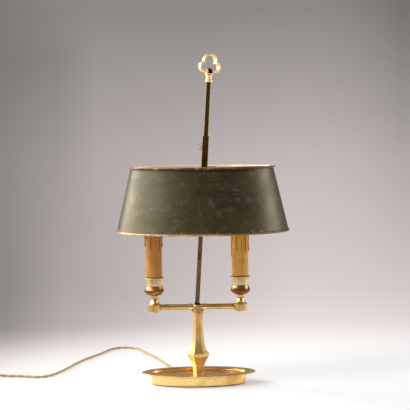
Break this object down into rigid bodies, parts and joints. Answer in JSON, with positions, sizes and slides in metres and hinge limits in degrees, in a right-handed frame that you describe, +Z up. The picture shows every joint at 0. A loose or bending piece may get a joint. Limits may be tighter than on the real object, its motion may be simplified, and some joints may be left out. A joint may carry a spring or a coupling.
{
  "type": "bouillotte lamp",
  "caption": "Table lamp with an oval tray base, six-sided column, twin candle lights on a cross arm and an oval tin shade that slides on a leaning square mast.",
  "frame": {"origin": "middle of the flat underside of the felt pad, on the table, below the column's axis", "axes": "+Z up, +X to the right along the cross arm and the long way of the base, +Y to the back"},
  "size_m": [0.6166, 0.4084, 0.5198],
  "materials": {
    "gilt_brass": "polished, lightly aged lacquered brass",
    "gilt_finial": "pale polished brass",
    "aged_bronze": "dark brown aged brass, worn on the corners",
    "dark_nut": "blackened brass",
    "green_paint": "olive green paint outside, cream inside, brushed by hand",
    "gilt_bead": "gilt bead, rubbed",
    "strap_metal": "aged strip",
    "amber_candle": "amber wax look with runs",
    "green_felt": "felt",
    "iron_weight": "as cast",
    "plain_steel": "zinc plated",
    "white_nylon": "moulded",
    "bushing_brown": "moulded",
    "lead_cover": "insulated lead",
    "holder_black": "moulded phenolic",
    "bulb_glass": "clear",
    "bulb_metal": "pressed",
    "gold_cord": "twisted two-core lead in gold rayon braid",
    "gold_plastic": "moulded",
    "pin_metal": "plated",
    "rocker_brown": "moulded"
  },
  "bodies": {
    "stand": {"arm_left": "gilt_brass", "arm_right": "gilt_brass", "base_nut": "plain_steel", "base_tray": "gilt_brass", "base_washer": "plain_steel", "base_weight": "iron_weight", "bulb_cap_left": "bulb_metal", "bulb_cap_right": "bulb_metal", "bulb_glass_left": "bulb_glass", "bulb_glass_right": "bulb_glass", "candle_sleeve_left": "amber_candle", "candle_sleeve_right": "amber_candle", "centre_hub": "gilt_brass", "column_cap": "gilt_brass", "column_foot": "gilt_brass", "column_shaft": "gilt_brass", "cord_bushing": "bushing_brown", "cord_coil": "gold_cord", "cord_end": "gold_cord", "cord_run": "gold_cord", "cord_tail": "gold_cord", "cup_left": "gilt_brass", "cup_right": "gilt_brass", "end_hub_left": "gilt_brass", "end_hub_right": "gilt_brass", "felt_pad": "green_felt", "ferrule_left": "gilt_brass", "ferrule_right": "gilt_brass", "finial_neck": "gilt_finial", "finial_nut": "dark_nut", "finial_ring": "gilt_finial", "hub_cap_left": "gilt_brass", "hub_cap_right": "gilt_brass", "inlet_lead": "gold_cord", "lampholder_left": "holder_black", "lampholder_right": "holder_black", "lead_left": "lead_cover", "lead_right": "lead_cover", "mast": "aged_bronze", "mast_locknut": "dark_nut", "nipple_left": "plain_steel", "nipple_right": "plain_steel", "plug_body": "gold_plastic", "plug_pins": "pin_metal", "stem_left": "gilt_brass", "stem_right": "gilt_brass", "switch_body": "gold_plastic", "terminal_block": "white_nylon", "tie_tube": "plain_steel", "weight_screws": "plain_steel"},
    "shade": {"slider": "aged_bronze", "shade_strap": "strap_metal", "strap_rivets": "strap_metal", "lever_bracket": "aged_bronze", "lever_pin": "aged_bronze", "shade_shell": "green_paint", "shade_top_bead": "gilt_bead", "shade_bottom_bead": "gilt_bead"},
    "lever": {"clamp_lever": "aged_bronze"},
    "rocker": {"switch_rocker": "rocker_brown"}
  },
  "joints": [
    {"name": "shade_slide", "type": "slide", "parent": "stand", "child": "shade", "axis": [0.0671, 0, 0.9977], "range_m": [-0.1952, 0.0832]},
    {"name": "lever_hinge", "type": "hinge", "parent": "shade", "child": "lever", "pos_m": [0.00896, 0, 0.37391], "axis": [0, 1, 0], "range_deg": [-45, 0]},
    {"name": "rocker_hinge", "type": "hinge", "parent": "stand", "child": "rocker", "pos_m": [-0.381, 0.0673, 0.0128], "axis": [0, 1, 0], "range_deg": [-16, 0]}
  ]
}
